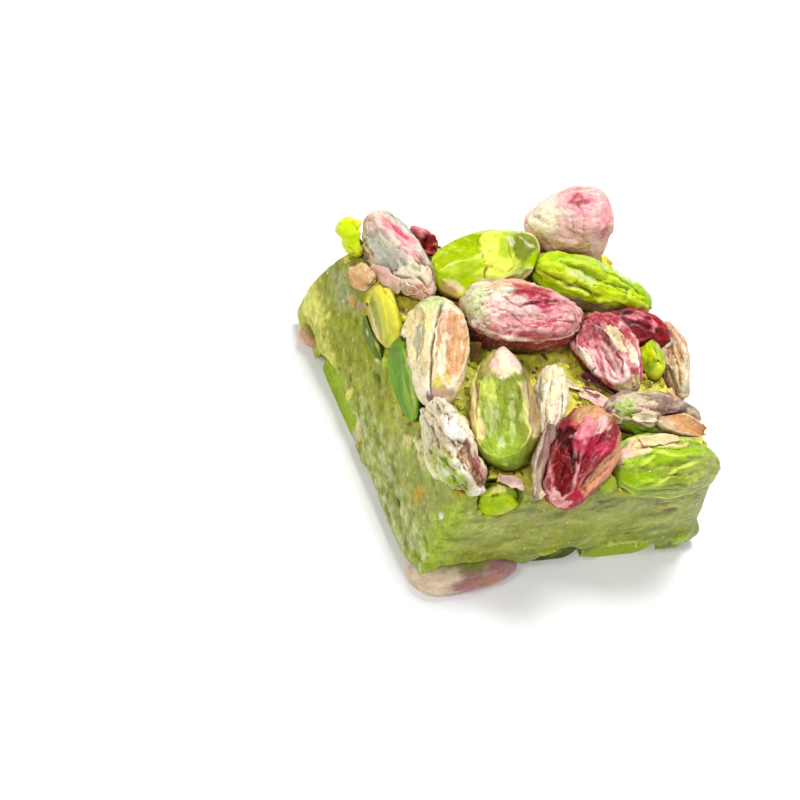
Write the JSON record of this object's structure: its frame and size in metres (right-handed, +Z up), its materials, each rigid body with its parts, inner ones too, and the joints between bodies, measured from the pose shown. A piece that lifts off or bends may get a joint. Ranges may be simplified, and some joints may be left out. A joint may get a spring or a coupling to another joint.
{
  "type": "nougat bar",
  "caption": "Square-cut piece of soft green nougat bar with whole, broken and sliced green nut kernels on its top and set into its base.",
  "frame": {"origin": "middle of the bounding box at table level, under the bar", "axes": "+X along the front cut side to the right, +Y to the back, +Z up through the bar's thickness"},
  "size_m": [0.0454, 0.0474, 0.0254],
  "materials": {
    "nougat": "soft satin, finely grained where cut",
    "green_flesh": "satin with soft gloss",
    "lime_flesh": "satin with soft gloss",
    "rose_skin": "papery satin, wrinkled",
    "red_skin": "wet gloss",
    "tan_skin": "papery matt",
    "cream_skin": "papery satin",
    "grey_skin": "papery matt, veined"
  },
  "bodies": {
    "root": {"nougat_slab": "nougat", "torn_skin_kernel": "grey_skin", "cut_green_kernel": "lime_flesh", "pale_pink_kernel": "cream_skin", "bright_green_kernel": "green_flesh", "rosy_kernel": "rose_skin", "lobed_pink_kernel": "rose_skin", "dark_red_kernel": "red_skin", "lime_chip_right": "lime_flesh", "tan_cream_kernel": "cream_skin", "upright_green_kernel": "green_flesh", "cream_sliver": "cream_skin", "open_red_kernel": "red_skin", "corner_green_kernel": "green_flesh", "purple_skin_kernel": "grey_skin", "crushed_cream_kernel": "cream_skin", "edge_skin_kernel": "tan_skin", "red_chip_back": "red_skin", "lime_nub_back": "lime_flesh", "leaf_green_slice": "green_flesh", "yellow_slice": "lime_flesh", "tan_slice": "tan_skin", "dark_green_slice": "green_flesh", "lime_slice_front": "lime_flesh", "lower_pink_corner": "rose_skin", "lower_green_front": "green_flesh", "lower_lime_front": "lime_flesh", "lower_green_corner": "green_flesh", "lower_green_left": "green_flesh", "lower_cream_left": "cream_skin", "lower_tan_left": "tan_skin", "lower_lime_back": "lime_flesh", "lower_rosy_middle": "rose_skin", "lower_green_middle": "green_flesh", "lower_pink_right": "rose_skin", "lower_cream_back": "cream_skin", "grey_skin_sheet": "grey_skin", "tan_skin_sheet": "tan_skin"}
  },
  "joints": []
}
